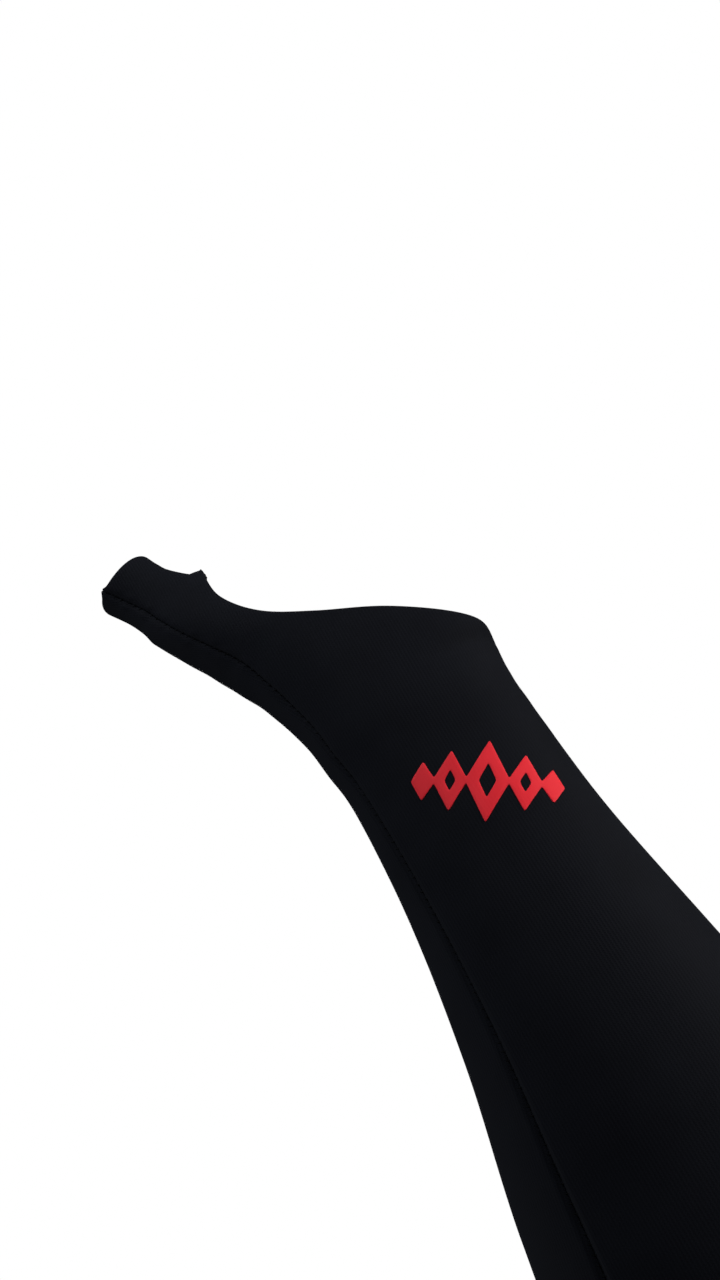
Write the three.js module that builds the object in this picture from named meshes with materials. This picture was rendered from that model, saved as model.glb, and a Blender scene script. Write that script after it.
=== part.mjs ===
// Arm sleeve of black stretch knit for a right arm, from the middle of the upper arm to the hand,
// with a stub over the base of the thumb. Two cloth panels meet along a seam on the thumb side,
// a seam on the little-finger side and a short seam between thumb and hand. A red print lies on
// the back of the wrist.
//
// Millimetres, +Z up along the forearm to the hand. The origin is the middle of the wrist, the
// thumb side faces -X, the back of the hand -Y and the palm +Y. All edges are clean-cut.
import * as THREE from 'three';
import { TessellateModifier } from 'three/addons/modifiers/TessellateModifier.js';
import { mergeVertices } from 'three/addons/utils/BufferGeometryUtils.js';

// Cloth
const WALL = 1.2; // thickness of the knit
const SEAM_GAP = 0.3; // clearance between the panels along a seam
const SQUARENESS = 2.2; // exponent of the cross-sections, 2 would be an ellipse
const RINGS_PER_SECTION = 3; // rings of facets from one section to the next
const FACETS_ACROSS = 20; // facets across each panel

// Sections of the sleeve. Each lies in an upright plane through its outer end, on the thumb side,
// and its inner end, on the little-finger side or, at the hand, on the rim. In the columns:
// outerX, outerZ, innerX, innerZ  the two ends
// back, palm  how far the cloth stands out between them, towards the back and towards the palm
// bow         shift of the whole section along Y
// open        half angle left open at the inner end, in degrees, where the hand comes out
// seam        angle from the outer end round to the thumb-side seam on the back, in degrees
// under       angle from the inner end round to the other seam on the palm side, in degrees
const ARM_AND_HAND = [
  [-52.0, -385, 50.0, -385, 51.0, 51.0, -20, 0, 54, 15], // arm end
  [-50.0, -315, 48.0, -315, 49.0, 49.0, -8, 0, 54, 15], // upper arm
  [-48.5, -245, 46.5, -245, 45.5, 44.5, 0, 0, 54, 15], // elbow
  [-54.8, -185, 49.6, -185, 45.5, 44.0, 1, 0, 55, 15], // widest forearm
  [-50.0, -140, 47.2, -140, 41.5, 40.0, 1, 0, 54, 15],
  [-40.3, -95, 40.7, -95, 34.5, 33.5, 0, 0, 50, 15],
  [-33.7, -50, 34.7, -50, 27.0, 26.0, 0, 0, 43, 14],
  [-31.5, -12, 32.7, -12, 22.5, 22.0, 0, 0, 36, 12], // wrist
  [-33.1, 5, 32.5, 3, 21.5, 22.5, 0, 0, 34, 7],
  [-34.4, 16, 33.2, 12.7, 20.5, 23.0, 0, 0, 34, 0], // low end of the hand opening
  [-37.3, 27, 32.0, 20.9, 19.5, 23.5, 0, 33, 34, 0],
  [-41.2, 38, 12.4, 36.1, 18.5, 24.0, 0, 61.5, 37, 0],
  [-46.4, 48.5, -8.8, 48.3, 17.5, 23.5, 0, 83, 43, 0],
  [-51.6, 59, -24.5, 59.8, 16.4, 21.0, 0, 78.2, 49, 0],
  [-57.7, 70.1, -33.6, 74.2, 14.4, 17.5, 0, 59, 54, 0],
  [-62.3, 79, -35.1, 91.1, 10.5, 13.5, 0, 0, 57, 0], // high end of it, beside the thumb
];
const THUMB = [
  ARM_AND_HAND.at(-1),
  [-63.6, 84.1, -37.8, 91.1, 9.8, 12.6, 0, 0, 57, 0],
  [-66.5, 90.6, -45.5, 99.1, 9.4, 11.6, 0, 0, 56, 0],
  [-71.2, 98.2, -49.6, 107.2, 10.7, 11.6, 0, 0, 53.5, 0], // thumb opening
];

// Print: a row of joined lozenges, small at the ends and large in the middle
const PRINT_X = 8; // middle of the print across the back of the wrist
const PRINT_Z = -31; // and along the arm
const PRINT_TILT = -33; // degrees from straight across the arm
const PRINT_FILM = 0.4; // thickness
const PRINT_GAP = 0.35; // clearance to the cloth
const PRINT_STEP = 3.5; // longest edge of its facets
const NECK = 0.8; // half height where two lozenges join
const LOZENGES = [
  // half length, half height, share that is left open
  [3.6, 6.0, 0],
  [4.8, 9.4, 0.36],
  [6.2, 13.0, 0.42],
  [4.8, 9.4, 0.36],
  [3.6, 6.0, 0],
];

const CLOTH = new THREE.MeshStandardMaterial({ color: 0x15161a, roughness: 0.9, metalness: 0 });
const FILM = new THREE.MeshStandardMaterial({ color: 0xcc2c36, roughness: 0.55, metalness: 0 });
const HAND_SECTIONS = ARM_AND_HAND.length - 1;
const LAST_SECTION = HAND_SECTIONS + THUMB.length - 1;
const STEP = 1e-3; // small step for slopes, in sections and in radians
const TENSION = 0.5; // of the curves through the sections
const HALVINGS = 40; // tries at finding a place by its height
const LENGTH_STEPS = 60; // steps along a length laid round a section
const SPLITS = 12; // most times that a facet of the print is split
const SAME_POINT = 1e-3; // points closer than this are one
const radians = THREE.MathUtils.degToRad;

// Smooth curves through one table's columns. The opening is drawn through its squares, so that
// it starts and ends round.
function smoothTable(rows) {
  const curve = (pick) => {
    const points = rows.map((row) => new THREE.Vector3(...pick(row)));
    return new THREE.CatmullRomCurve3(points, false, 'catmullrom', TENSION);
  };
  return {
    outer: curve(([outerX, outerZ, , , , , bow]) => [outerX, bow, outerZ]),
    inner: curve(([, , innerX, innerZ, , , bow]) => [innerX, bow, innerZ]),
    depths: curve(([, , , , back, palm, , open]) => [back, palm, open * open]),
    seams: curve(([, , , , , , , , seam, under]) => [seam, under, 0]),
    last: rows.length - 1,
  };
}

const armAndHand = smoothTable(ARM_AND_HAND);
const thumb = smoothTable(THUMB);

// The section at a place along the sleeve, counted in sections from the arm end
function sectionAt(place) {
  const onThumb = place > HAND_SECTIONS;
  const table = onThumb ? thumb : armAndHand;
  const share = (onThumb ? place - HAND_SECTIONS : place) / table.last;
  const depths = table.depths.getPoint(share);
  const seams = table.seams.getPoint(share);
  return {
    outer: table.outer.getPoint(share),
    inner: table.inner.getPoint(share),
    back: depths.x,
    palm: depths.y,
    open: radians(Math.sqrt(Math.max(depths.z, 0))),
    seam: Math.PI - radians(seams.x),
    under: radians(Math.max(seams.y, 0)),
  };
}

const rounded = (value) => Math.sign(value) * Math.abs(value) ** (2 / SQUARENESS);

// A point of the cloth's outer face: angle 0 is the inner end, half a turn on, over the back,
// is the outer end, and the palm side follows.
function clothPoint(section, angle) {
  const fullWidth = 2 / (1 + rounded(Math.cos(section.open)));
  const across = (fullWidth * (1 + rounded(Math.cos(angle)))) / 2;
  const point = section.outer.clone().lerp(section.inner, across);
  const lift = rounded(Math.sin(angle));
  point.y -= lift > 0 ? lift * section.back : lift * section.palm;
  return point;
}

// The way round the section, its length for each radian
function wayRound(section, angle) {
  const before = clothPoint(section, angle - STEP);
  return clothPoint(section, angle + STEP).sub(before).divideScalar(2 * STEP);
}

function outward(place, angle) {
  const low = Math.max(place - STEP, 0);
  const high = Math.min(place + STEP, LAST_SECTION);
  const along = clothPoint(sectionAt(high), angle).sub(clothPoint(sectionAt(low), angle));
  return along.cross(wayRound(sectionAt(place), angle)).normalize();
}

const halfGap = (section, angle) => SEAM_GAP / 2 / wayRound(section, angle).length();

// Where each panel starts and ends round a section. Below the hand opening the little-finger
// seam lies under the arm, and beside the thumb the short seam lies on its inner edge.
function innerSeam(section, side) {
  const gap = halfGap(section, STEP - section.under);
  if (section.open > gap) return side * section.open;
  return side * gap - section.under;
}
const panelEnds = {
  back_panel: (section) => [
    innerSeam(section, 1),
    section.seam - halfGap(section, section.seam),
  ],
  palm_panel: (section) => [
    section.seam + halfGap(section, section.seam),
    2 * Math.PI + innerSeam(section, -1),
  ],
};

// A closed wall: the outer face, the inner face one thickness in, and the four cut edges.
function panel(name) {
  const rings = LAST_SECTION * RINGS_PER_SECTION;
  const positions = [];
  for (let ring = 0; ring <= rings; ring++) {
    const place = ring / RINGS_PER_SECTION;
    const section = sectionAt(place);
    const [first, last] = panelEnds[name](section);
    for (let facet = 0; facet <= FACETS_ACROSS; facet++) {
      const angle = THREE.MathUtils.lerp(first, last, facet / FACETS_ACROSS);
      const outside = clothPoint(section, angle);
      const inside = outside.clone().addScaledVector(outward(place, angle), -WALL);
      positions.push(...outside.toArray(), ...inside.toArray());
    }
  }
  const OUTSIDE = 0;
  const INSIDE = 1;
  const vertex = (ring, facet, face) => 2 * (ring * (FACETS_ACROSS + 1) + facet) + face;
  const triangles = [];
  const quad = (a, b, c, d) => triangles.push(a, b, c, a, c, d);
  for (let ring = 0; ring < rings; ring++) {
    for (let facet = 0; facet < FACETS_ACROSS; facet++) {
      const [up, next] = [ring + 1, facet + 1];
      quad(
        vertex(ring, facet, OUTSIDE),
        vertex(up, facet, OUTSIDE),
        vertex(up, next, OUTSIDE),
        vertex(ring, next, OUTSIDE),
      );
      quad(
        vertex(ring, facet, INSIDE),
        vertex(ring, next, INSIDE),
        vertex(up, next, INSIDE),
        vertex(up, facet, INSIDE),
      );
    }
  }
  const edge = (ringA, facetA, ringB, facetB) =>
    quad(
      vertex(ringA, facetA, OUTSIDE),
      vertex(ringB, facetB, OUTSIDE),
      vertex(ringB, facetB, INSIDE),
      vertex(ringA, facetA, INSIDE),
    );
  for (let ring = 0; ring < rings; ring++) {
    edge(ring + 1, 0, ring, 0);
    edge(ring, FACETS_ACROSS, ring + 1, FACETS_ACROSS);
  }
  for (let facet = 0; facet < FACETS_ACROSS; facet++) {
    edge(0, facet, 0, facet + 1);
    edge(rings, facet + 1, rings, facet);
  }
  const geometry = new THREE.BufferGeometry();
  geometry.setAttribute('position', new THREE.Float32BufferAttribute(positions, 3));
  geometry.setIndex(triangles);
  geometry.computeVertexNormals();
  return geometry;
}

// The flat outline of the print: over the tops of the lozenges, and back under them
function lozengeRow() {
  const length = LOZENGES.reduce((sum, [halfLength]) => sum + 2 * halfLength, 0);
  const upper = [];
  const holes = [];
  let left = -length / 2;
  for (const [halfLength, halfHeight, share] of LOZENGES) {
    const middle = left + halfLength;
    if (upper.length > 0) upper.push([left, NECK]);
    upper.push([middle, halfHeight]);
    if (share > 0) holes.push([middle, halfLength * share, halfHeight * share]);
    left = middle + halfLength;
  }
  const lower = upper.map(([x, y]) => [x, -y]).reverse();
  const outline = [[-length / 2, 0], ...upper, [length / 2, 0], ...lower];
  const shape = new THREE.Shape(outline.map(([x, y]) => new THREE.Vector2(x, y)));
  for (const [x, wide, high] of holes) {
    const corners = [[x - wide, 0], [x, -high], [x + wide, 0], [x, high]];
    shape.holes.push(new THREE.Path(corners.map(([u, v]) => new THREE.Vector2(u, v))));
  }
  return shape;
}

// The place along the sleeve at a height on the arm, found by halving
function placeAtHeight(height) {
  let [low, high] = [0, HAND_SECTIONS];
  for (let turn = 0; turn < HALVINGS; turn++) {
    const middle = (low + high) / 2;
    if (sectionAt(middle).outer.z < height) low = middle;
    else high = middle;
  }
  return low;
}

// The angle that lies a length round the section from a starting angle, towards the inner end
function angleAtLength(section, start, length) {
  let angle = start;
  for (let step = 0; step < LENGTH_STEPS; step++) {
    angle -= length / LENGTH_STEPS / wayRound(section, angle).length();
  }
  return angle;
}

// The angle on the back at a place across the arm
function angleAcross(section, x) {
  const middle = (section.outer.x + section.inner.x) / 2;
  const share = (x - middle) / (section.inner.x - middle);
  return Math.acos(Math.sign(share) * Math.abs(share) ** (SQUARENESS / 2));
}

// Lays the flat print round the wrist, lengths kept both ways.
function print() {
  const settings = { depth: PRINT_FILM, bevelEnabled: false };
  const flat = new THREE.ExtrudeGeometry(lozengeRow(), settings);
  const fine = new TessellateModifier(PRINT_STEP, SPLITS).modify(flat);
  fine.rotateZ(radians(PRINT_TILT));
  const start = angleAcross(sectionAt(placeAtHeight(PRINT_Z)), PRINT_X);
  const positions = fine.getAttribute('position');
  for (let i = 0; i < positions.count; i++) {
    const place = placeAtHeight(PRINT_Z + positions.getY(i));
    const angle = angleAtLength(sectionAt(place), start, positions.getX(i));
    const height = PRINT_GAP + positions.getZ(i);
    const point = clothPoint(sectionAt(place), angle);
    point.addScaledVector(outward(place, angle), height);
    positions.setXYZ(i, point.x, point.y, point.z);
  }
  fine.deleteAttribute('normal');
  fine.deleteAttribute('uv');
  const merged = mergeVertices(fine, SAME_POINT);
  merged.computeVertexNormals();
  return merged;
}

function piece(name, geometry, material) {
  const mesh = new THREE.Mesh(geometry, material);
  mesh.name = name;
  return mesh;
}

const sleeve = new THREE.Group();
sleeve.add(
  piece('back_panel', panel('back_panel'), CLOTH),
  piece('palm_panel', panel('palm_panel'), CLOTH),
  piece('wrist_print', print(), FILM),
);

export default sleeve;
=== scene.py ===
# %% [markdown]
# # A stretch-knit arm sleeve
# This lesson dresses a plain model of an arm sleeve: a close-fitting tube of black knit that runs
# from the upper arm to the hand, with a stub for the thumb. The plain model gives the sizes and
# never moves. Everything that the eye reads as cloth is made here: the drawn-in seams, the cut
# edges, the stitches, the knit itself and the printed film on the wrist.
#
# The first cell loads the plain model as a fixed frame, and keeps its box for the floor.

# %% Load the frame
import math

import bpy
import numpy as np
from mathutils import Matrix, Vector
from mathutils.geometry import delaunay_2d_cdt


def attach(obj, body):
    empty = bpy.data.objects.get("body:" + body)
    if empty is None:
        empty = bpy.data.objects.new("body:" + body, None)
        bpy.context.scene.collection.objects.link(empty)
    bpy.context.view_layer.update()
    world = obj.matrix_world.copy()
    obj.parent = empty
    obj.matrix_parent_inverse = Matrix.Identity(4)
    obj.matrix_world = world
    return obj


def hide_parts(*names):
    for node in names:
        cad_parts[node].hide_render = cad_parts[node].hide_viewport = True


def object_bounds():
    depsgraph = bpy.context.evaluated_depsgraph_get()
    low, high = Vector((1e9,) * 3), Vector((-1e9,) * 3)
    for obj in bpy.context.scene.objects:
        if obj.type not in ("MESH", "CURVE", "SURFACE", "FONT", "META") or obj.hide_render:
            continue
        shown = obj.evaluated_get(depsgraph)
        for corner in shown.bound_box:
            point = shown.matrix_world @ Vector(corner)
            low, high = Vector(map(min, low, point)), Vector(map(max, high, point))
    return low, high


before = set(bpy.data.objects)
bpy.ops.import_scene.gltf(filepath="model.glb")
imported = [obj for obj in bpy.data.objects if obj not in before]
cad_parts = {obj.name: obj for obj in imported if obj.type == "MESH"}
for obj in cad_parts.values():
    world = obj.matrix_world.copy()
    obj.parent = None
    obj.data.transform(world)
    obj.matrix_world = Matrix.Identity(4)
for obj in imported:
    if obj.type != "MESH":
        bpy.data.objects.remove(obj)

cad_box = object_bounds()
MM = 0.001
print("frame holds", sorted(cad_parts), "from", cad_box[0], "to", cad_box[1])

# %% [markdown]
# ## The camera
# The sleeve stands upright here, but the picture shows it leaning, seen from the elbow's side.
# So the camera looks up along it and is rolled, rather than the sleeve being tilted.
# A camera is four facts: how far it stands from the wrist, how steeply it looks up, how much it
# is rolled, and where the wrist falls in the picture. The focal length comes from pixels, because
# the sensor's 36 mm lie along the picture's long side.

# %% Place the camera
PICTURE_PX = (720, 1280)
WRIST_PX = (426, 734)
FOCAL_PX = 1440
SENSOR_MM = 36
WRIST_RANGE_MM = 450
LOOK_UP_DEG = 25
ROLL_DEG = 31.5
NEAREST_MM = 10


def camera_axes(look_up, roll):
    """The camera's right, up and forward in the sleeve's frame."""
    forward = Vector((0, math.cos(look_up), math.sin(look_up)))
    right = Vector((1, 0, 0))
    up = right.cross(forward)
    turned_right = math.cos(roll) * right - math.sin(roll) * up
    turned_up = math.sin(roll) * right + math.cos(roll) * up
    return turned_right, turned_up, forward


right, up, forward = camera_axes(math.radians(LOOK_UP_DEG), math.radians(ROLL_DEG))
across = (WRIST_PX[0] - PICTURE_PX[0] / 2) / FOCAL_PX
below = (WRIST_PX[1] - PICTURE_PX[1] / 2) / FOCAL_PX
to_wrist = (forward + across * right - below * up) * WRIST_RANGE_MM * MM

lens = bpy.data.cameras.new("sleeve_camera")
lens.sensor_width = SENSOR_MM
lens.lens = SENSOR_MM * FOCAL_PX / max(PICTURE_PX)
lens.clip_start = NEAREST_MM * MM
camera = bpy.data.objects.new("sleeve_camera", lens)
camera.matrix_world = Matrix((right, up, -forward)).transposed().to_4x4()
camera.location = -to_wrist
bpy.context.scene.collection.objects.link(camera)
bpy.context.scene.camera = camera
print("lens", round(lens.lens, 2), "mm, camera at", tuple(round(v, 3) for v in camera.location))

# %% [markdown]
# ## Colours and nodes
# Colours are picked as hex values, as an eyedropper gives them. Blender's shaders count in
# linear light, so one function turns hex to linear. A second small function adds a shader node,
# sets its values and links what feeds it, so that a material reads as a list of steps. A third
# starts a material with an empty list.

# %% Three small helpers


def linear(hex_colour):
    """A linear RGBA colour from an sRGB hex value such as 'cc2c36'."""
    parts = [int(hex_colour[i:i + 2], 16) / 255 for i in (0, 2, 4)]
    bent = [p / 12.92 if p <= 0.04045 else ((p + 0.055) / 1.055) ** 2.4 for p in parts]
    return (*bent, 1.0)


def add_node(tree, kind, settings=None, links=None):
    """Adds a node. Settings name inputs or properties, links feed other sockets into inputs."""
    node = tree.nodes.new(kind)
    for key, value in (settings or {}).items():
        if isinstance(key, int) or key in node.inputs:
            node.inputs[key].default_value = value
        else:
            setattr(node, key, value)
    for key, socket in (links or {}).items():
        tree.links.new(socket, node.inputs[key])
    return node


def bare_material(name):
    """A new material that has no nodes yet, and its node tree."""
    material = bpy.data.materials.new(name)
    material.use_nodes = True
    material.node_tree.nodes.clear()
    return material, material.node_tree


print("white is", linear("ffffff"))

# %% [markdown]
# ## Studio
# Black cloth on white needs care: a white room reflects in every fibre and turns black to grey.
# So the room is white for the camera and dim as a light, and soft lamps shape the sleeve. The
# key lamp stands on the right, level with the wrist, and a weaker one hangs over the hand
# opening, so the light falls off towards the elbow. A third picks out the left edge, and the
# fourth lights the palm side from behind. The lamps themselves are hidden from the camera. The
# view transform is Standard, so that white paper stays white.

# %% Light the studio
scene = bpy.context.scene
scene.view_settings.view_transform = "Standard"
world = bpy.data.worlds.new("white_room")
world.use_nodes = True
scene.world = world
room = world.node_tree
room.nodes.clear()
seen = add_node(room, "ShaderNodeBackground", {"Color": linear("ffffff"), "Strength": 1.0})
felt = add_node(room, "ShaderNodeBackground", {"Color": linear("dfe8ff"), "Strength": 0.08})
ray = add_node(room, "ShaderNodeLightPath")
mixed = add_node(room, "ShaderNodeMixShader", None, {
    0: ray.outputs["Is Camera Ray"], 1: felt.outputs[0], 2: seen.outputs[0]})
add_node(room, "ShaderNodeOutputWorld", None, {"Surface": mixed.outputs[0]})

# name, place beside the wrist in metres, width in metres, watts, colour
LAMPS = [
    ("key_softbox", (0.50, -0.14, 0.0), 0.40, 3.8, "fffaf2"),
    ("hand_softbox", (-0.10, -0.25, 0.32), 0.30, 1.2, "ffffff"),
    ("edge_softbox", (-0.80, 0.10, -0.10), 0.50, 2.0, "ffffff"),
    ("palm_softbox", (0.0, 0.95, 0.40), 0.60, 14.0, "ffffff"),
]
for name, place, width, watts, colour in LAMPS:
    light = bpy.data.lights.new(name, "AREA")
    light.shape = "DISK"
    light.size = width
    light.energy = watts
    light.color = linear(colour)[:3]
    lamp = bpy.data.objects.new(name, light)
    lamp.location = place
    lamp.rotation_euler = (-Vector(place)).to_track_quat("-Z", "Y").to_euler()
    lamp.visible_camera = False
    scene.collection.objects.link(lamp)
print(len(LAMPS), "lamps")

# %% [markdown]
# ## Floor
# The sleeve is held up as if worn, so the floor lies a hand's breadth below the arm end. It is a
# plain pale sheet that catches a soft shadow in the other views. A little light of its own keeps
# it pale far from the lamps. It is hidden from the cloth's rays, so it lends the black no grey.

# %% Lay the floor
FLOOR_DROP_MM = 60
FLOOR_HALF_MM = 4000
GLOW = 0.74
floor_z = cad_box[0].z - FLOOR_DROP_MM * MM
half = FLOOR_HALF_MM * MM
floor_mesh = bpy.data.meshes.new("floor")
floor_mesh.from_pydata(
    [(x, y, floor_z) for x, y in ((-half, -half), (half, -half), (half, half), (-half, half))],
    [], [(0, 1, 2, 3)])
floor = bpy.data.objects.new("floor", floor_mesh)
scene.collection.objects.link(floor)
paper, tree = bare_material("matte_paper_floor")
matte = add_node(tree, "ShaderNodeBsdfPrincipled", {
    "Base Color": linear("8c8c8a"), "Roughness": 0.9,
    "Emission Color": linear("f6f6f4"), "Emission Strength": GLOW})
add_node(tree, "ShaderNodeOutputMaterial", None, {"Surface": matte.outputs[0]})
floor_mesh.materials.append(paper)
floor.visible_diffuse = False
floor.visible_glossy = False
print("floor at", round(floor_z, 3))

# %% [markdown]
# ## The sleeve's form
# A sleeve takes the arm's shape. It is described by sections, one row each, from the arm end to
# the thumb. Each section has an outer end on the thumb side and an inner end on the other, and
# says how far the cloth stands out towards the back of the hand and towards the palm. Along the
# hand opening a section is left open at its inner end, like a C. The rows repeat the sizes of
# the plain model, so the fine cloth lies exactly where the plain walls are.

# %% Sections in millimetres and degrees
# outer x, outer z, inner x, inner z, back, palm, bow, open, seam, under
ARM_AND_HAND = np.array([
    (-52.0, -385, 50.0, -385, 51.0, 51.0, -20, 0, 54, 15),  # arm end
    (-50.0, -315, 48.0, -315, 49.0, 49.0, -8, 0, 54, 15),  # upper arm
    (-48.5, -245, 46.5, -245, 45.5, 44.5, 0, 0, 54, 15),  # elbow
    (-54.8, -185, 49.6, -185, 45.5, 44.0, 1, 0, 55, 15),  # widest forearm
    (-50.0, -140, 47.2, -140, 41.5, 40.0, 1, 0, 54, 15),
    (-40.3, -95, 40.7, -95, 34.5, 33.5, 0, 0, 50, 15),
    (-33.7, -50, 34.7, -50, 27.0, 26.0, 0, 0, 43, 14),
    (-31.5, -12, 32.7, -12, 22.5, 22.0, 0, 0, 36, 12),  # wrist
    (-33.1, 5, 32.5, 3, 21.5, 22.5, 0, 0, 34, 7),
    (-34.4, 16, 33.2, 12.7, 20.5, 23.0, 0, 0, 34, 0),  # low end of the hand opening
    (-37.3, 27, 32.0, 20.9, 19.5, 23.5, 0, 33, 34, 0),
    (-41.2, 38, 12.4, 36.1, 18.5, 24.0, 0, 61.5, 37, 0),
    (-46.4, 48.5, -8.8, 48.3, 17.5, 23.5, 0, 83, 43, 0),
    (-51.6, 59, -24.5, 59.8, 16.4, 21.0, 0, 78.2, 49, 0),
    (-57.7, 70.1, -33.6, 74.2, 14.4, 17.5, 0, 59, 54, 0),
    (-62.3, 79, -35.1, 91.1, 10.5, 13.5, 0, 0, 57, 0),  # high end of it, beside the thumb
])
THUMB = np.array([
    tuple(ARM_AND_HAND[-1]),
    (-63.6, 84.1, -37.8, 91.1, 9.8, 12.6, 0, 0, 57, 0),
    (-66.5, 90.6, -45.5, 99.1, 9.4, 11.6, 0, 0, 56, 0),
    (-71.2, 98.2, -49.6, 107.2, 10.7, 11.6, 0, 0, 53.5, 0),  # thumb opening
])
OUTER_X, OUTER_Z, INNER_X = 0, 1, 2
OPEN_COLUMN, SEAM_COLUMN, UNDER_COLUMN = 7, 8, 9
SQUARENESS = 2.2
WRIST, CORNER = 7, 9
WEB = len(ARM_AND_HAND) - 1
TIP = WEB + len(THUMB) - 1
print(TIP + 1, "sections")

# %% [markdown]
# Between the rows a Catmull-Rom curve passes smoothly through every row. The opening is drawn
# through its squares, which makes both ends of the hand opening round. The sections of hand and
# thumb are two curves that meet at the web, because the rim has a real corner there.

# %% Curves through the sections


def through(rows, at):
    """Catmull-Rom values at row numbers."""
    ends = np.vstack([2 * rows[0] - rows[1], rows, 2 * rows[-1] - rows[-2]])
    row = np.clip(np.floor(at).astype(int), 0, len(rows) - 2)
    t = (at - row)[:, None]
    a, b, c, d = (ends[row + i] for i in range(4))
    return b + 0.5 * t * (c - a + t * (2 * a - 5 * b + 4 * c - d + t * (3 * (b - c) + d - a)))


def sections(places):
    """The section columns at places counted in rows from the arm end, angles in radians."""
    places = np.asarray(places, float)
    squared = [rows.copy() for rows in (ARM_AND_HAND, THUMB)]
    for rows in squared:
        rows[:, OPEN_COLUMN] **= 2
    on_hand = through(squared[0], np.minimum(places, WEB))
    on_thumb = through(squared[1], np.maximum(places - WEB, 0))
    found = np.where((places > WEB)[:, None], on_thumb, on_hand)
    found[:, OPEN_COLUMN] = np.sqrt(np.maximum(found[:, OPEN_COLUMN], 0))
    found[:, UNDER_COLUMN] = np.maximum(found[:, UNDER_COLUMN], 0)
    found[:, OPEN_COLUMN:] = np.radians(found[:, OPEN_COLUMN:])
    return found


wrist_row = sections([WRIST])[0]
print("wrist", round(wrist_row[INNER_X] - wrist_row[OUTER_X], 1), "mm wide")

# %% [markdown]
# A point of the cloth is found by its place along the sleeve and its angle round the section.
# Small steps in both directions give the cloth's own frame there: out of the cloth, along the
# sleeve and round it. All later relief is measured in this frame.

# %% Points and directions of the cloth
SLOPE_STEP = 1e-3
GIRTH_STEPS = 200


def rounded(value):
    """Turns a circle's sine or cosine into that of the slightly squarer section."""
    return np.sign(value) * np.abs(value) ** (2 / SQUARENESS)


def unit(vectors):
    """The vectors, each brought to length 1."""
    return vectors / np.linalg.norm(vectors, axis=-1, keepdims=True)


def cloth_points(places, angles):
    """Points of the outer face in millimetres, for places (rings) and angles (rings, columns).
    Angle 0 is the inner end, half a turn over the back is the outer end, then comes the palm."""
    columns = sections(places).T[:SEAM_COLUMN]
    ox, oz, ix, iz, back, palm, bow, gap = (column[:, None] for column in columns)
    share = (1 + rounded(np.cos(angles))) / (1 + rounded(np.cos(gap)))
    lift = rounded(np.sin(angles))
    y = bow - lift * np.where(lift > 0, back, palm)
    return np.stack([ox + (ix - ox) * share, y, oz + (iz - oz) * share], -1)


def way_round(places, angles):
    """Millimetres round the section for each radian."""
    before, after = angles - SLOPE_STEP, angles + SLOPE_STEP
    return (cloth_points(places, after) - cloth_points(places, before)) / (2 * SLOPE_STEP)


def cloth_frames(places, angles):
    """The points, and the unit directions out of the cloth, along the sleeve and round it."""
    low, high = np.maximum(places - SLOPE_STEP, 0), np.minimum(places + SLOPE_STEP, TIP)
    along = unit(cloth_points(high, angles) - cloth_points(low, angles))
    round_it = unit(way_round(places, angles))
    out = unit(np.cross(along, round_it))
    return cloth_points(places, angles), out, np.cross(round_it, out), round_it


def lengths_along(points):
    """Length along a line of points, from its first point."""
    steps = np.linalg.norm(np.diff(points, axis=0), axis=1)
    return np.concatenate([[0], np.cumsum(steps)])


full_turn = np.linspace(0, 2 * math.pi, GIRTH_STEPS)
wrist_ring = cloth_points(np.array([WRIST]), full_turn[None])[0]
print("girth at the wrist", round(lengths_along(wrist_ring)[-1], 1), "mm")

# %% [markdown]
# ## Rings
# Each panel is a fine grid: rings run round the arm and columns along it. Rings are spaced
# evenly along the arm. At the hand opening they crowd towards both of its ends, where the rim
# turns fastest.

# %% Choose the rings
RING_STEP_MM = 1.3
HAND_RINGS = 96
THUMB_RINGS = 30
DENSE_STEPS = 2000
dense_places = np.linspace(0, CORNER, DENSE_STEPS)
dense_heights = sections(dense_places)[:, OUTER_Z]
arm_rings = round((dense_heights[-1] - dense_heights[0]) / RING_STEP_MM)
arm_heights = np.linspace(dense_heights[0], dense_heights[-1], arm_rings)
arm_places = np.interp(arm_heights, dense_heights, dense_places)
crowded = (1 - np.cos(np.linspace(0, math.pi, HAND_RINGS))) / 2
hand_places = CORNER + (WEB - CORNER) * crowded
thumb_places = np.linspace(WEB, TIP, THUMB_RINGS)
PLACES = np.concatenate([arm_places[:-1], hand_places[:-1], thumb_places])
print(len(PLACES), "rings")

# %% [markdown]
# ## Seam lines
# Three seams join the two panels. The long one on the thumb side is turned a little onto the
# back of the arm, and shows as a fine dark line. The one on the little-finger side is turned
# under the arm. The short one follows the web from the hand opening to the thumb's rim.

# %% Where the panels begin and end


def panel_edges(places, side):
    """First and last angle of a panel at each ring; side is 'back' or 'palm'."""
    found = sections(places)
    seam = math.pi - found[:, SEAM_COLUMN]
    opening, under = found[:, OPEN_COLUMN], found[:, UNDER_COLUMN]
    if side == "back":
        return opening - under, seam
    return seam, 2 * math.pi - opening - under


for side in ("back", "palm"):
    first, last = panel_edges(PLACES, side)
    print(side, "panel turns through", np.degrees(last - first).round()[[0, -1]], "degrees")

# %% [markdown]
# ## Relief of the cloth
# A sewn seam draws its two edges down into a narrow groove, and the thread's pull puckers the
# cloth beside it, more so on the curved stretch by the thumb. The taut cloth also ripples very
# slightly where the wrist turns and over the ball of the thumb, and swells in long slow waves
# over the forearm. All of this is a height in millimetres, added out of the cloth.

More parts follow.
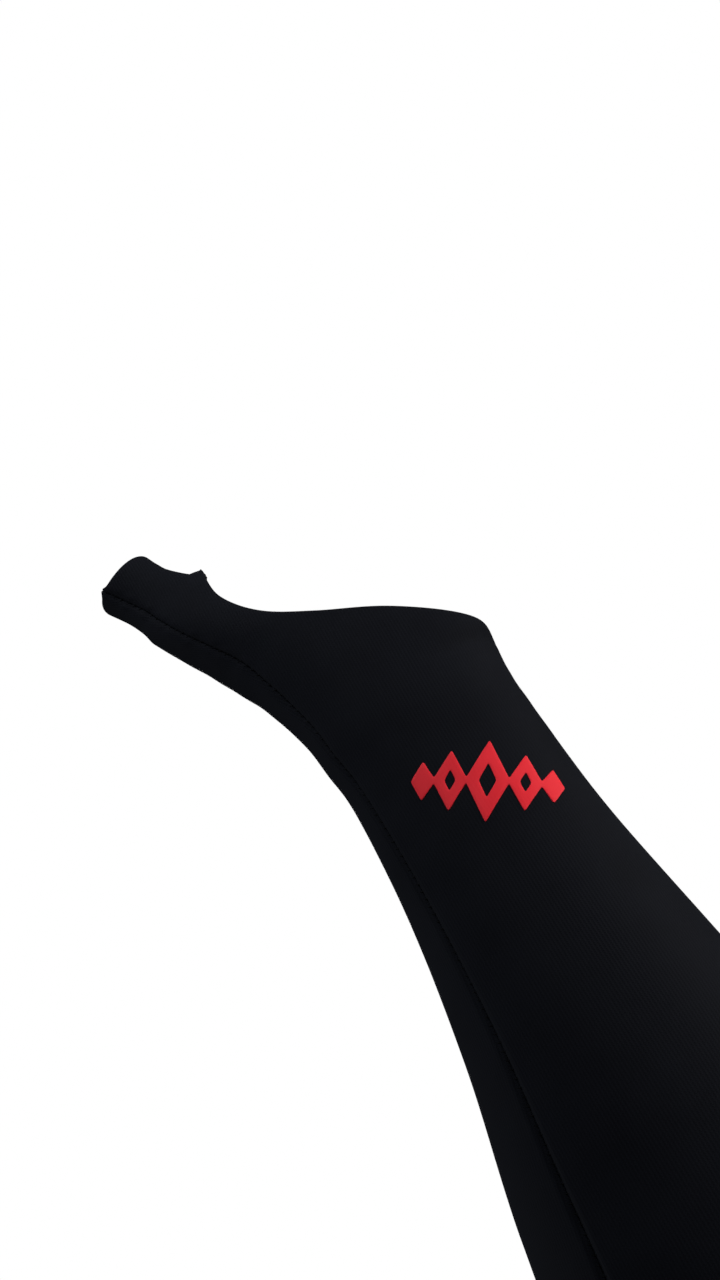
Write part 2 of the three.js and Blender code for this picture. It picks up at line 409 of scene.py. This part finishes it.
# %% Relief of a seam
SEAM_DIP_MM = 0.8
SEAM_DIP_WIDTH_MM = 1.15
STITCH_PITCH_MM = 2.6
STITCH_PULL = 0.12
SHOULDER_MM = 0.06
SHOULDER_AT_MM = 1.9
SHOULDER_WIDTH_MM = 1.2
PUCKER_LONG_MM = 7.4
PUCKER_SHORT_MM = 4.3
PUCKER_SHORT_SHARE = 0.5
PUCKER_SHIFT = 1.0  # radians between the two waves


def bell(value, width):
    """A bell curve with a peak of 1."""
    return np.exp(-(value / width) ** 2)


def ease(value, start, end):
    """Rises smoothly from 0 at start to 1 at end."""
    t = np.clip((value - start) / (end - start), 0, 1)
    return t * t * (3 - 2 * t)


def seam_relief(distance, along, pucker):
    """Height near a seam, from the distance to it, the length along it and the puckers' height."""
    long_wave = np.sin(2 * math.pi * along / PUCKER_LONG_MM)
    short_wave = np.sin(2 * math.pi * along / PUCKER_SHORT_MM + PUCKER_SHIFT)
    waves = long_wave + PUCKER_SHORT_SHARE * short_wave
    tighter = 1 + STITCH_PULL * np.cos(2 * math.pi * along / STITCH_PITCH_MM)
    dip = -SEAM_DIP_MM * tighter * bell(distance, SEAM_DIP_WIDTH_MM)
    shoulder = (SHOULDER_MM + pucker * waves) * bell(distance - SHOULDER_AT_MM, SHOULDER_WIDTH_MM)
    return dip + shoulder


print("seam groove", SEAM_DIP_MM, "mm deep")

# %% Ripples
# height, wavelength, slant, middle z, reach, side that they lie on, where they fade in on it
RIPPLES = [
    (0.07, 12.5, 0.35, -4, 16, (1, 0, 0), 4, 30),
    (0.07, 15.0, -0.8, 48, 26, (-1, 0, 0), 18, 40),
    (0.12, 64.0, 0.4, -170, 130, (0, -1, 0), -10, 30),
]


def ripples(points):
    """Slight ripples of the taut cloth."""
    height = np.zeros(points.shape[:-1])
    for tall, wave, slant, middle, reach, side, start, end in RIPPLES:
        phase = 2 * math.pi * (points[..., 2] + slant * points[..., 0]) / wave
        where = bell(points[..., 2] - middle, reach) * ease(points @ np.array(side), start, end)
        height += tall * np.sin(phase) * where
    return height


print(len(RIPPLES), "groups of ripples")

# %% [markdown]
# Where a seam runs out at an edge, its folded cloth is stiffer than the rest and stands up as a
# small peak. Next to the web the palm's rim is drawn in, and at the low end of the hand opening
# the rim stands out a little. Each of these is a pull on the points near it, along directions of
# the cloth's own frame there, fading with distance.

# %% Pulls at the seam ends and rims
# place, line, degrees on from it, pull out of the cloth and along it, reach in millimetres
PULLS = [
    (TIP, "seam", 0, 0.5, 1.3, 1.4),
    (WEB - 0.03, "back rim", 0, 0.3, 1.1, 1.5),
    (WEB, "back rim", 33, 0.0, -0.45, 2.2),
    (WEB - 0.12, "palm rim", 0, -1.9, 0.0, 4.2),
    (CORNER + 0.2, "back rim", 0, 0.6, 0.0, 5.0),
    (0.0, "seam", 0, 0.5, -0.6, 3.0),
]


def line_angles(places, line):
    """Angles of the thumb-side seam, or of a panel's edge along the hand opening."""
    first, seam = panel_edges(places, "back")
    last = panel_edges(places, "palm")[1]
    return {"seam": seam, "back rim": first, "palm rim": last}[line]


def pulled(points):
    """How far each point is pulled, in millimetres."""
    moved = np.zeros_like(points)
    for place, line, degrees, out_mm, along_mm, reach in PULLS:
        at = np.array([float(place)])
        angle = line_angles(at, line)[:, None] + math.radians(degrees)
        spot, out, along, _ = (v[0, 0] for v in cloth_frames(at, angle))
        away = np.linalg.norm(points - spot, axis=-1, keepdims=True)
        moved += bell(away, reach) * (out_mm * out + along_mm * along)
    return moved


print(len(PULLS), "pulls")

# %% [markdown]
# ## A panel of knit
# The cloth is a wall with a true thickness. Columns are close together near a panel's edges,
# where seams and rims need detail, and wider apart between. The edges of a seam leave a fine gap,
# as a stretched seam does, which reads as a dark line. The grid of a panel is the middle of its
# wall: the sleeve's form, half a thickness in, with the reliefs and pulls added.
#
# The grid also carries two lengths for the knit pattern. Cloth is cut from the roll with its
# grain along the arm, so one length counts up the arm and the other round it from the seam.

# %% Columns of a panel
CLOTH_MM = 1.0
SEAM_GAP_MM = 0.3
EDGE_ZONE_MM = np.array([0.0, 0.3, 0.6, 0.95, 1.35, 1.8, 2.3, 2.9, 3.6, 4.5, 5.6, 7.0])
MIDDLE_COLUMNS = 44
MEASURE_STEPS = 300


def column_angles(places, first, last):
    """Angles of the columns at each ring, their distance from the first edge and the width."""
    angles = first[:, None] + (last - first)[:, None] * np.linspace(0, 1, MEASURE_STEPS)
    steps = np.linalg.norm(np.diff(cloth_points(places, angles), axis=1), axis=-1)
    lengths = np.concatenate([np.zeros((len(places), 1)), np.cumsum(steps, axis=1)], axis=1)
    width = lengths[:, -1:]
    zone = (SEAM_GAP_MM + CLOTH_MM) / 2 + EDGE_ZONE_MM
    middle = np.linspace(0, 1, MIDDLE_COLUMNS + 1)[1:-1]
    between = zone[-1] + (width - 2 * zone[-1]) * middle
    left = np.broadcast_to(zone, (len(places), len(zone)))
    distance = np.concatenate([left, between, width - left[:, ::-1]], axis=1)
    found = np.stack([np.interp(d, n, a) for d, n, a in zip(distance, lengths, angles)])
    return found, distance, width


print(2 * len(EDGE_ZONE_MM) + MIDDLE_COLUMNS - 1, "columns")

# %% Middle surface of a panel
ARM_PUCKER_MM, THUMB_PUCKER_MM, WEB_PUCKER_MM = 0.02, 0.10, 0.06
WEB_SEAM_SHARE = 0.5
# rows over which puckers grow and seams end or begin
THUMB_PUCKER_ROWS = (CORNER + 1, WEB - 1)
WEB_PUCKER_ROWS = (WEB - 0.5, WEB)
SIDE_SEAM_END_ROWS = (CORNER - 0.25, CORNER)
WEB_SEAM_START_ROWS = (WEB - 0.05, WEB + 0.15)


def cut_lengths(points, seam_column):
    """Lengths for the knit: round the arm from the seam, level with the floor, and up the arm."""
    flat = points[..., :2] if seam_column == 0 else points[:, ::-1, :2]
    steps = np.linalg.norm(np.diff(flat, axis=1), axis=-1)
    round_it = np.concatenate([flat[:, :1, 0], steps], axis=1).cumsum(axis=1)
    return (round_it if seam_column == 0 else round_it[:, ::-1]), points[..., 2]


def panel_surface(places, side):
    """The middle surface of a panel with its frames and lengths."""
    first, last = panel_edges(places, side)
    angles, to_first, width = column_angles(places, first, last)
    points, out, along, round_it = cloth_frames(places, angles)
    inner, seam = (0, -1) if side == "back" else (-1, 0)
    to_seam, to_inner = (to_first, width - to_first)[::-1 if side == "back" else 1]
    on_seam, on_inner = (lengths_along(points[:, column])[:, None] for column in (seam, inner))
    by_thumb = ARM_PUCKER_MM + THUMB_PUCKER_MM * ease(places, *THUMB_PUCKER_ROWS)[:, None]
    by_web = ARM_PUCKER_MM + WEB_PUCKER_MM * ease(places, *WEB_PUCKER_ROWS)[:, None]
    side_sewn = 1 - ease(places, *SIDE_SEAM_END_ROWS)
    sewn = side_sewn + WEB_SEAM_SHARE * ease(places, *WEB_SEAM_START_ROWS)
    height = seam_relief(to_seam, on_seam, by_thumb) + ripples(points)
    height = height + sewn[:, None] * seam_relief(to_inner, on_inner, by_web)
    middle = points + (height - CLOTH_MM / 2)[..., None] * out + pulled(points)
    across_mm, along_mm = cut_lengths(points, seam)
    return {"middle": middle, "out": out, "along": along, "round": round_it,
            "across_mm": across_mm, "along_mm": along_mm}


back_surface = panel_surface(PLACES, "back")
palm_surface = panel_surface(PLACES, "palm")
print("a panel's grid is", back_surface["middle"].shape[:2], "points")

# %% [markdown]
# Each ring of the wall is a closed loop: the face of the knit, a rounded edge, the reverse, and
# another rounded edge. On the reverse an edge reaches a little farther, as the cloth folded in at
# a seam does, so that no light falls through the gap. Loops joined ring by ring make the wall,
# and a few shrinking loops round off its two ends: a clean-cut edge of knit is never sharp.

# %% Loops of a wall
EDGE_TURNS = np.radians([54, 18, -18, -54])
FOLDED_IN = 0.4  # of half the thickness
END_TURNS = np.radians([25, 50, 72])


def edge_arc(surface, middle, column, sign, half, turns):
    """The rounded edge at a panel's first or last column, which reaches farther on the reverse."""
    m, out, round_it = (v[:, column, None] for v in (middle, surface["out"], surface["round"]))
    reach = np.cos(turns) + FOLDED_IN * (turns < 0)
    return m + half * (np.sin(turns)[:, None] * out + sign * reach[:, None] * round_it)


def panel_loops(surface, half, forward_mm):
    """Closed loops of a wall of that half thickness, moved along the sleeve."""
    middle = surface["middle"] + forward_mm * surface["along"]
    face, reverse = middle + half * surface["out"], middle - half * surface["out"]
    last = edge_arc(surface, middle, -1, 1, half, EDGE_TURNS)
    first = edge_arc(surface, middle, 0, -1, half, EDGE_TURNS[::-1])
    return np.concatenate([face, last, reverse[:, ::-1], first], axis=1)


def wall_loops(surface):
    """All loops of a panel, from the rounded arm end to the rounded thumb end."""
    half = CLOTH_MM / 2
    loops = [panel_loops(surface, half, 0)]
    for end, sign in ((0, -1), (-1, 1)):
        ring = {key: value[end][None] for key, value in surface.items()}
        extra = [panel_loops(ring, half * math.cos(turn), sign * half * math.sin(turn))
                 for turn in END_TURNS]
        loops = extra[::-1] + loops if end == 0 else loops + extra
    return np.concatenate(loops)


print("a panel has", wall_loops(back_surface).shape[0], "loops")

# %% [markdown]
# ## From points to objects
# Every piece of the sleeve becomes an object in the same way: points in millimetres and faces
# make a smooth mesh. A UV map holds two lengths in millimetres at each point, so that a pattern
# of knit or thread is drawn at its size.

# %% Make an object


def new_object(name, points_mm, faces, materials=()):
    """An object with a smooth mesh, in the scene."""
    mesh = bpy.data.meshes.new(name)
    mesh.from_pydata((points_mm.reshape(-1, 3) * MM).tolist(), [], faces)
    mesh.polygons.foreach_set("use_smooth", np.ones(len(faces), bool))
    for material in materials:
        mesh.materials.append(material)
    obj = bpy.data.objects.new(name, mesh)
    scene.collection.objects.link(obj)
    return obj


def lay_lengths(obj, name, lengths_mm):
    """A UV map of the object, from two lengths at each of its points."""
    mesh = obj.data
    corner = np.zeros(len(mesh.loops), np.int32)
    mesh.loops.foreach_get("vertex_index", corner)
    layer = mesh.uv_layers.new(name=name)
    layer.data.foreach_set("uv", lengths_mm[corner].astype(np.float32).reshape(-1))


# %% [markdown]
# The loops of a panel become one closed mesh with two finishes: the face of the knit outside and
# the reverse inside. Its UV map holds the cut lengths.

# %% Join the loops of a panel


def wall_faces(count, size, columns):
    """Quads between the loops and caps on both ends, with a flag for the reverse of the knit."""
    turns = len(EDGE_TURNS)
    loop, step = np.meshgrid(np.arange(count - 1), np.arange(size), indexing="ij")
    after = (step + 1) % size
    quads = np.stack([loop * size + step, (loop + 1) * size + step,
                      (loop + 1) * size + after, loop * size + after], -1)
    faces = quads.reshape(-1, 4).tolist()
    inside = (step >= columns + turns) & (step < 2 * columns + turns - 1)
    flags = inside.reshape(-1).tolist()
    facing = [2 * columns + turns - 1 - j for j in range(columns)]
    cap = [(j, j + 1, facing[j + 1], facing[j]) for j in range(columns - 1)]
    cap += [tuple(range(columns - 1, columns + turns + 1)), (*range(facing[0], size), 0)]
    faces += [list(face) for face in cap]
    faces += [[(count - 1) * size + v for v in face[::-1]] for face in cap]
    return faces, flags + [False] * (2 * len(cap))


def knit_lengths(surface, count):
    """The cut lengths at each point of the loops."""
    rows = np.clip(np.arange(count) - len(END_TURNS), 0, len(surface["middle"]) - 1)
    turns = len(EDGE_TURNS)
    both = []
    for key in ("across_mm", "along_mm"):
        line = surface[key][rows]
        last, first = np.repeat(line[:, -1:], turns, 1), np.repeat(line[:, :1], turns, 1)
        both.append(np.concatenate([line, last, line[:, ::-1], first], axis=1).reshape(-1))
    return np.stack(both, -1)


def panel_object(name, surface, face_material, reverse_material):
    """A panel's wall as an object with its two finishes."""
    loops = wall_loops(surface)
    count, size = loops.shape[:2]
    faces, reverse_flags = wall_faces(count, size, surface["middle"].shape[1])
    obj = new_object(name, loops, faces, [face_material, reverse_material])
    obj.data.polygons.foreach_set("material_index", np.array(reverse_flags, np.int32))
    lay_lengths(obj, "knit_mm", knit_lengths(surface, count))
    return obj


print("a loop has", wall_loops(back_surface).shape[1], "points")

# %% [markdown]
# ## The knit
# Sleeves like this are circular-knitted from fine nylon with some elastane. The face shows
# narrow upright columns (wales) of V-shaped loops, and the reverse shows rows (courses) of small
# arcs. Dyed deep black, the yarn gives the eye little more than a faint cool sheen where it turns
# away. The fibres shade each other, so the gloss is far below that of solid nylon. Real wales
# are about 0.4 mm wide, too fine for the render, so they are drawn at about 1 mm.
#
# The wave texture repeats every pi / 10 units at scale 1, which gives its scale in millimetres.

# %% Nylon and elastane jersey
WALE_MM = 1.0
COURSE_MM = 0.8
VEE_SLOPE = 1.3
ARC_RISE_MM = 0.4
VEE_SHARE, ARC_SHARE = 0.4, 0.7  # of the knit's relief, the crowns of the wales being the rest
LOOP_RELIEF_MM = 0.1
# The knit's share of the light and dark is painted shade: darker in the valleys between loops.
KNIT_SHARE = 0.45  # of the light and dark, the mottle being the rest
MOTTLE_MM = 18.0
WAVE_REPEAT = math.pi / 10


def jersey_material(name, dark, light, vees):
    """Matte black stretch jersey, with V-shaped loops on its face or arcs on its reverse."""
    material, tree = bare_material(name)
    cut = add_node(tree, "ShaderNodeUVMap", {"uv_map": "knit_mm"})
    parts = add_node(tree, "ShaderNodeSeparateXYZ", None, {0: cut.outputs[0]})
    zigzag = add_node(tree, "ShaderNodeMath", {"operation": "PINGPONG", 1: WALE_MM / 2},
                      {0: parts.outputs[0]})
    crown = add_node(tree, "ShaderNodeMapRange", {
        "interpolation_type": "SMOOTHSTEP", "From Max": WALE_MM / 2}, {"Value": zigzag.outputs[0]})
    bend, rise = (zigzag, VEE_SLOPE) if vees else (crown, ARC_RISE_MM)
    row = add_node(tree, "ShaderNodeMath", {"operation": "MULTIPLY_ADD", 1: rise},
                   {0: bend.outputs[0], 2: parts.outputs[1]})
    line = add_node(tree, "ShaderNodeCombineXYZ", None, {0: row.outputs[0], 1: parts.outputs[0]})
    loops = add_node(tree, "ShaderNodeTexWave", {
        "Scale": WAVE_REPEAT / COURSE_MM, "Distortion": 0.5, "Detail": 1.0},
        {"Vector": line.outputs[0]})
    knit = add_node(tree, "ShaderNodeMix", {0: VEE_SHARE if vees else ARC_SHARE},
                    {2: crown.outputs[0], 3: loops.outputs[1]})
    space = add_node(tree, "ShaderNodeTexCoord")
    mottle = add_node(tree, "ShaderNodeTexNoise", {"Scale": 1 / (MOTTLE_MM * MM), "Detail": 3.0},
                      {"Vector": space.outputs["Object"]})
    shade = add_node(tree, "ShaderNodeMix", {0: KNIT_SHARE},
                     {2: mottle.outputs[0], 3: knit.outputs[0]})
    # Light and dark follow the mottle and, as painted shade, the valleys between the knit's loops.
    dye_and_valley_shade = add_node(tree, "ShaderNodeMix", {
        "data_type": "RGBA", 6: linear(dark), 7: linear(light)}, {0: shade.outputs[0]})
    rough = add_node(tree, "ShaderNodeMapRange", {"To Min": 0.66, "To Max": 0.8},
                     {"Value": mottle.outputs[0]})
    bump = add_node(tree, "ShaderNodeBump", {"Strength": 0.2, "Distance": LOOP_RELIEF_MM * MM},
                    {"Height": knit.outputs[0]})
    shader = add_node(tree, "ShaderNodeBsdfPrincipled", {
        "IOR": 1.53, "Specular IOR Level": 0.015,
        "Sheen Weight": 0.002, "Sheen Roughness": 0.4, "Sheen Tint": linear("d5dcea")}, {
        "Base Color": dye_and_valley_shade.outputs[2], "Roughness": rough.outputs[0], "Normal": bump.outputs[0]})
    add_node(tree, "ShaderNodeOutputMaterial", None, {"Surface": shader.outputs[0]})
    return material


knit_face = jersey_material("nylon_jersey_face", "090a0e", "16181d", vees=True)
knit_reverse = jersey_material("nylon_jersey_reverse", "0c0d10", "1c1e22", vees=False)
print("made", knit_face.name, "and", knit_reverse.name)

# %% [markdown]
# ## The two panels
# The back panel carries the print and the upper half of the thumb stub. The palm panel wraps the
# rest. Both are cut smaller than they are worn, and the arm holds them stretched: a close sleeve
# is stretched by about a tenth round the arm, and only a little along it.


seam_line = cloth_points(PLACES, line_angles(PLACES, "seam")[:, None])[:, 0]
back_cloth = panel_object("back_panel_cloth", back_surface, knit_face, knit_reverse)
palm_cloth = panel_object("palm_panel_cloth", palm_surface, knit_face, knit_reverse)
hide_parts("back_panel")
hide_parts("palm_panel")
for obj, surface in ((back_cloth, back_surface), (palm_cloth, palm_surface)):
    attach(obj, "root")

# %% [markdown]
# ## Stitches
# Where a plain seam is stretched, its thread shows in the groove as small rungs from edge to
# edge. Each rung is a short bent tube of thread that starts inside one edge of cloth, crosses the
# groove and goes into the other edge. Hundreds of them are made at once as arrays, which is far
# quicker than hundreds of objects.
#
# The thread is spun polyester of several twisted plies. Seen close, it shows slanting stripes:
# a painted highlight on each ply and painted shade between them, over a bump for their relief.

# %% Polyester thread
TWIST_MM = 0.35
PLY_RELIEF_MM = 0.04
thread, tree = bare_material("polyester_thread")
laid = add_node(tree, "ShaderNodeUVMap", {"uv_map": "thread_mm"})
plies = add_node(tree, "ShaderNodeTexWave", {
    "bands_direction": "DIAGONAL", "Scale": WAVE_REPEAT / TWIST_MM}, {"Vector": laid.outputs[0]})
painted_ply_shade = add_node(tree, "ShaderNodeMix", {
    "data_type": "RGBA", 6: linear("050506"), 7: linear("0d0e10")}, {0: plies.outputs[1]})
furrow = add_node(tree, "ShaderNodeBump", {"Strength": 0.3, "Distance": PLY_RELIEF_MM * MM},
                  {"Height": plies.outputs[1]})
yarn = add_node(tree, "ShaderNodeBsdfPrincipled", {
    "IOR": 1.54, "Roughness": 0.6, "Specular IOR Level": 0.025},
    {"Base Color": painted_ply_shade.outputs[2], "Normal": furrow.outputs[0]})
add_node(tree, "ShaderNodeOutputMaterial", None, {"Surface": yarn.outputs[0]})
print("made", thread.name)

# %% Paths of the rungs
RUNG_SLANT = 0.35
WEB_STITCH_START = 0.3  # rows on from the web
# distance across the seam, and height over the cloth there
RUNG_PATH_MM = np.array([
    (-0.85, -0.34), (-0.6, 0.0), (-0.25, -0.04), (0.25, -0.04), (0.6, 0.0), (0.85, -0.34)])


def rung_paths(places, angles):
    """Rungs across a seam line, an array of rungs by path points, and the way along the seam."""
    length = lengths_along(cloth_points(places, angles[:, None])[:, 0])
    stops = np.arange(STITCH_PITCH_MM / 2, length[-1], STITCH_PITCH_MM)
    at = np.interp(stops, length, places)
    turned = np.interp(stops, length, angles)
    spots, out, along, round_it = cloth_frames(at, turned[:, None])
    across, lift = (column[:, None] for column in RUNG_PATH_MM.T)
    paths = spots + across * (round_it + RUNG_SLANT * along)
    height = seam_relief(np.abs(across[:, 0]), stops[:, None], ARM_PUCKER_MM) + ripples(paths)
    return paths + (height[..., None] + lift) * out + pulled(paths), along


thumb_side = rung_paths(PLACES, line_angles(PLACES, "seam"))
arm_only = PLACES[PLACES <= CORNER]
little_finger_side = rung_paths(arm_only, line_angles(arm_only, "back rim"))
past_web = PLACES[PLACES > WEB + WEB_STITCH_START]
on_web = rung_paths(past_web, line_angles(past_web, "back rim"))
print("rungs", [len(paths) for paths, _ in (thumb_side, little_finger_side, on_web)])

# %% Tubes of thread along the paths
THREAD_MM = 0.26
THREAD_SIDES = 6


def tube_faces(count, long):
    """Quads round the tubes and a cap on each end."""
    tube, step, k = np.meshgrid(
        np.arange(count), np.arange(long - 1), np.arange(THREAD_SIDES), indexing="ij")
    start = (tube * long + step) * THREAD_SIDES
    after = (k + 1) % THREAD_SIDES
    upper = start + THREAD_SIDES
    faces = np.stack([start + k, start + after, upper + after, upper + k], -1)
    ring = np.arange(THREAD_SIDES)
    first = np.arange(count)[:, None] * long * THREAD_SIDES
    caps = np.concatenate([first + ring[::-1], first + (long - 1) * THREAD_SIDES + ring])
    return faces.reshape(-1, 4).tolist() + caps.tolist()


def stitch_row(name, paths, along):
    """One object of all the rungs of a seam, with lengths round and along the thread as UVs."""
    way = unit(np.gradient(paths, axis=1))
    side = unit(np.cross(way, along))
    turn = np.linspace(0, 2 * math.pi, THREAD_SIDES, endpoint=False)[:, None]
    radial = np.cos(turn) * side[:, :, None] + np.sin(turn) * np.cross(way, side)[:, :, None]
    points = paths[:, :, None] + THREAD_MM / 2 * radial
    count, long = paths.shape[:2]
    obj = new_object(name, points, tube_faces(count, long), [thread])
    laid_mm = np.zeros((count, long, THREAD_SIDES, 2))
    laid_mm[..., 0] = turn[:, 0] * THREAD_MM / 2
    laid_mm[..., 1] = lengths_along(RUNG_PATH_MM)[:, None]
    lay_lengths(obj, "thread_mm", laid_mm.reshape(-1, 2))
    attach(obj, "root")
    print(name, count, "rungs")


stitch_row("thumb_side_stitches", *thumb_side)
stitch_row("little_finger_side_stitches", *little_finger_side)
stitch_row("web_stitches", *on_web)

# %% [markdown]
# ## The print
# The print on the back of the wrist is a thin red film of polyurethane, cut to shape and pressed
# on with heat. The film takes the form of the arm, so it is laid out flat, filled with small
# triangles and then wrapped: its length runs round the arm and its height up the arm. A cut film
# has slightly rounded corners, so the outline is softened a little.

# %% Flat outline of the print
PRINT_X_MM = 8
PRINT_Z_MM = -31
PRINT_TILT_DEG = -33
NECK_MM = 0.8
OUTLINE_STEP_MM = 0.5
SOFTENINGS = 2
# half length, half height, share that is left open
LOZENGES = [
    (3.6, 6.0, 0),
    (4.8, 9.4, 0.36),
    (6.2, 13.0, 0.42),
    (4.8, 9.4, 0.36),
    (3.6, 6.0, 0),
]


def lozenge_row():
    """Corners of the outline, clockwise, and of the open middles, the other way round."""
    length = 2 * sum(row[0] for row in LOZENGES)
    upper, holes, left = [], [], -length / 2
    for half_length, half_height, share in LOZENGES:
        middle = left + half_length
        if upper:
            upper.append((left, NECK_MM))
        upper.append((middle, half_height))
        if share:
            wide, high = half_length * share, half_height * share
            holes.append([(middle - wide, 0), (middle, -high), (middle + wide, 0), (middle, high)])
        left = middle + half_length
    lower = [(x, -y) for x, y in upper[::-1]]
    return [[(-length / 2, 0), *upper, (length / 2, 0), *lower], *holes]


def soft_loop(corners):
    """A closed loop in even short steps, with its corners softened."""
    closed = np.array([*corners, corners[0]], float)
    length = lengths_along(closed)
    even = np.linspace(0, length[-1], round(length[-1] / OUTLINE_STEP_MM), endpoint=False)
    loop = np.stack([np.interp(even, length, closed[:, i]) for i in range(2)], -1)
    for _ in range(SOFTENINGS):
        loop = (np.roll(loop, 1, 0) + 2 * loop + np.roll(loop, -1, 0)) / 4
    return loop


print_loops = [soft_loop(corners) for corners in lozenge_row()]
print("loops of the print", [len(loop) for loop in print_loops])

# %% Fill the outline with triangles
FILM_GRID_MM = 0.9
FILM_MARGIN_MM = 0.4
WITHIN_EDGES = 1  # the fill keeps only triangles inside the outline
SAME_POINT_MM = 1e-5
# inset from the outline and height over the cloth, from the glued side to the top
FILM_EDGE_MM = [(0.0, -0.12), (0.0, 0.12), (0.06, 0.2), (0.18, 0.24)]


def inset(loop, distance):
    """The loop moved into the film, which lies on its right."""
    way = np.roll(loop, -1, 0) - np.roll(loop, 1, 0)
    return loop + distance * unit(np.stack([way[:, 1], -way[:, 0]], -1))


def inside(points, loops):
    """Whether points lie in the film: a line to the right then crosses an odd number of edges."""
    crossings = np.zeros(len(points), int)
    for loop in loops:
        (ax, ay), (bx, by) = loop.T, np.roll(loop, -1, 0).T
        x, y = points[:, :1], points[:, 1:]
        spans = (ay > y) != (by > y)
        level = np.where(spans, by - ay, 1)
        crossings += (spans & (x < ax + (y - ay) / level * (bx - ax))).sum(axis=1)
    return crossings % 2 == 1


top_loops = [inset(loop, FILM_EDGE_MM[-1][0]) for loop in print_loops]
rim_points = np.concatenate(top_loops)
reach = np.abs(rim_points).max(axis=0)
axes = [np.arange(-r, r, FILM_GRID_MM) for r in reach]
grid = np.stack(np.meshgrid(*axes), -1).reshape(-1, 2)
to_rim = np.linalg.norm(grid[:, None] - rim_points, axis=-1).min(axis=1)
grid = grid[inside(grid, top_loops) & (to_rim > FILM_MARGIN_MM)]
flat_points = np.concatenate([rim_points, grid])
rim_edges = []
for loop in top_loops:
    first = len(rim_edges)
    rim_edges += [(first + i, first + (i + 1) % len(loop)) for i in range(len(loop))]
_, _, filled, *_ = delaunay_2d_cdt(
    [Vector(p) for p in flat_points], rim_edges, [], WITHIN_EDGES, SAME_POINT_MM)
triangles = np.array(filled)
triangles = triangles[inside(flat_points[triangles].mean(axis=1), top_loops)]
print(len(triangles), "triangles fill the print")

# %% [markdown]
# The film is one closed body: a top, a rounded edge and a glued side. Wrapping turns each flat
# point into a place up the arm and an angle round it, stepping round the section so that lengths
# are kept.

# %% Wrap the film onto the wrist
WRAP_STEPS = 60


def wrapped(flat, height):
    """Points of the film on the arm, from flat points and heights over the cloth."""
    places = np.interp(PRINT_Z_MM + flat[:, 1], dense_heights, dense_places)
    middle = np.interp([PRINT_Z_MM], dense_heights, dense_places)
    ox, ix = sections(middle)[0, [OUTER_X, INNER_X]]
    share = (PRINT_X_MM - (ox + ix) / 2) / ((ix - ox) / 2)
    angles = np.full((len(flat), 1), math.acos(np.sign(share) * abs(share) ** (SQUARENESS / 2)))
    for _ in range(WRAP_STEPS):
        speed = np.linalg.norm(way_round(places, angles), axis=-1)
        angles = angles - flat[:, :1] / WRAP_STEPS / speed
    points, out, _, _ = (v[:, 0] for v in cloth_frames(places, angles))
    return points + (height + ripples(points))[:, None] * out


tilt = math.radians(PRINT_TILT_DEG)
tilting = np.array([(math.cos(tilt), math.sin(tilt)), (-math.sin(tilt), math.cos(tilt))])
layers = [np.concatenate([inset(loop, d) for loop in print_loops]) for d, _ in FILM_EDGE_MM]
glued, *sides, top = layers
flat_film = np.concatenate([glued, grid, *sides, top, grid]) @ tilting
sizes = [len(glued) + len(grid), *map(len, sides), len(top) + len(grid)]
film_height = np.repeat([height for _, height in FILM_EDGE_MM], sizes)
film_points = wrapped(flat_film, film_height)
print("film spans", np.ptp(film_points, axis=0).round(1), "mm")

# %% Join the film
starts = np.cumsum([0, *sizes[:-1]])
film_faces = triangles[:, ::-1].tolist() + (triangles + starts[-1]).tolist()
for lower, upper in zip(starts[:-1], starts[1:]):
    for a, b in rim_edges:
        film_faces.append([lower + a, upper + a, upper + b, lower + b])
film = new_object("wrist_print_film", film_points, film_faces)
lay_lengths(film, "knit_mm", flat_film)
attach(film, "root")
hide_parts("wrist_print")
print("film has", len(film_faces), "faces")

# %% [markdown]
# Pressed polyurethane film is satin: even in colour, softly glossy, and with the knit under it
# showing through as a faint texture. Slow changes in colour and gloss keep it from looking like
# flat paint.

# %% Heat-pressed polyurethane film
CLOUD_MM = 9.0
FILM_RELIEF_MM = 0.06
pressed, tree = bare_material("heat_pressed_polyurethane_film")
under = add_node(tree, "ShaderNodeUVMap", {"uv_map": "knit_mm"})
wales = add_node(tree, "ShaderNodeTexWave", {
    "Scale": WAVE_REPEAT / WALE_MM, "Distortion": 0.8, "Detail": 1.0},
    {"Vector": under.outputs[0]})
space = add_node(tree, "ShaderNodeTexCoord")
cloud = add_node(tree, "ShaderNodeTexNoise", {"Scale": 1 / (CLOUD_MM * MM), "Detail": 4.0},
                 {"Vector": space.outputs["Object"]})
tint = add_node(tree, "ShaderNodeMix", {
    "data_type": "RGBA", 6: linear("c9212b"), 7: linear("d42e39")}, {0: cloud.outputs[0]})
gloss = add_node(tree, "ShaderNodeMapRange", {"To Min": 0.5, "To Max": 0.62},
                 {"Value": cloud.outputs[0]})
emboss = add_node(tree, "ShaderNodeBump", {"Strength": 0.12, "Distance": FILM_RELIEF_MM * MM},
                  {"Height": wales.outputs[1]})
satin = add_node(tree, "ShaderNodeBsdfPrincipled", {"IOR": 1.5, "Specular IOR Level": 0.07}, {
    "Base Color": tint.outputs[2], "Roughness": gloss.outputs[0], "Normal": emboss.outputs[0]})
add_node(tree, "ShaderNodeOutputMaterial", None, {"Surface": satin.outputs[0]})
film.data.materials.append(pressed)
print("made", pressed.name)
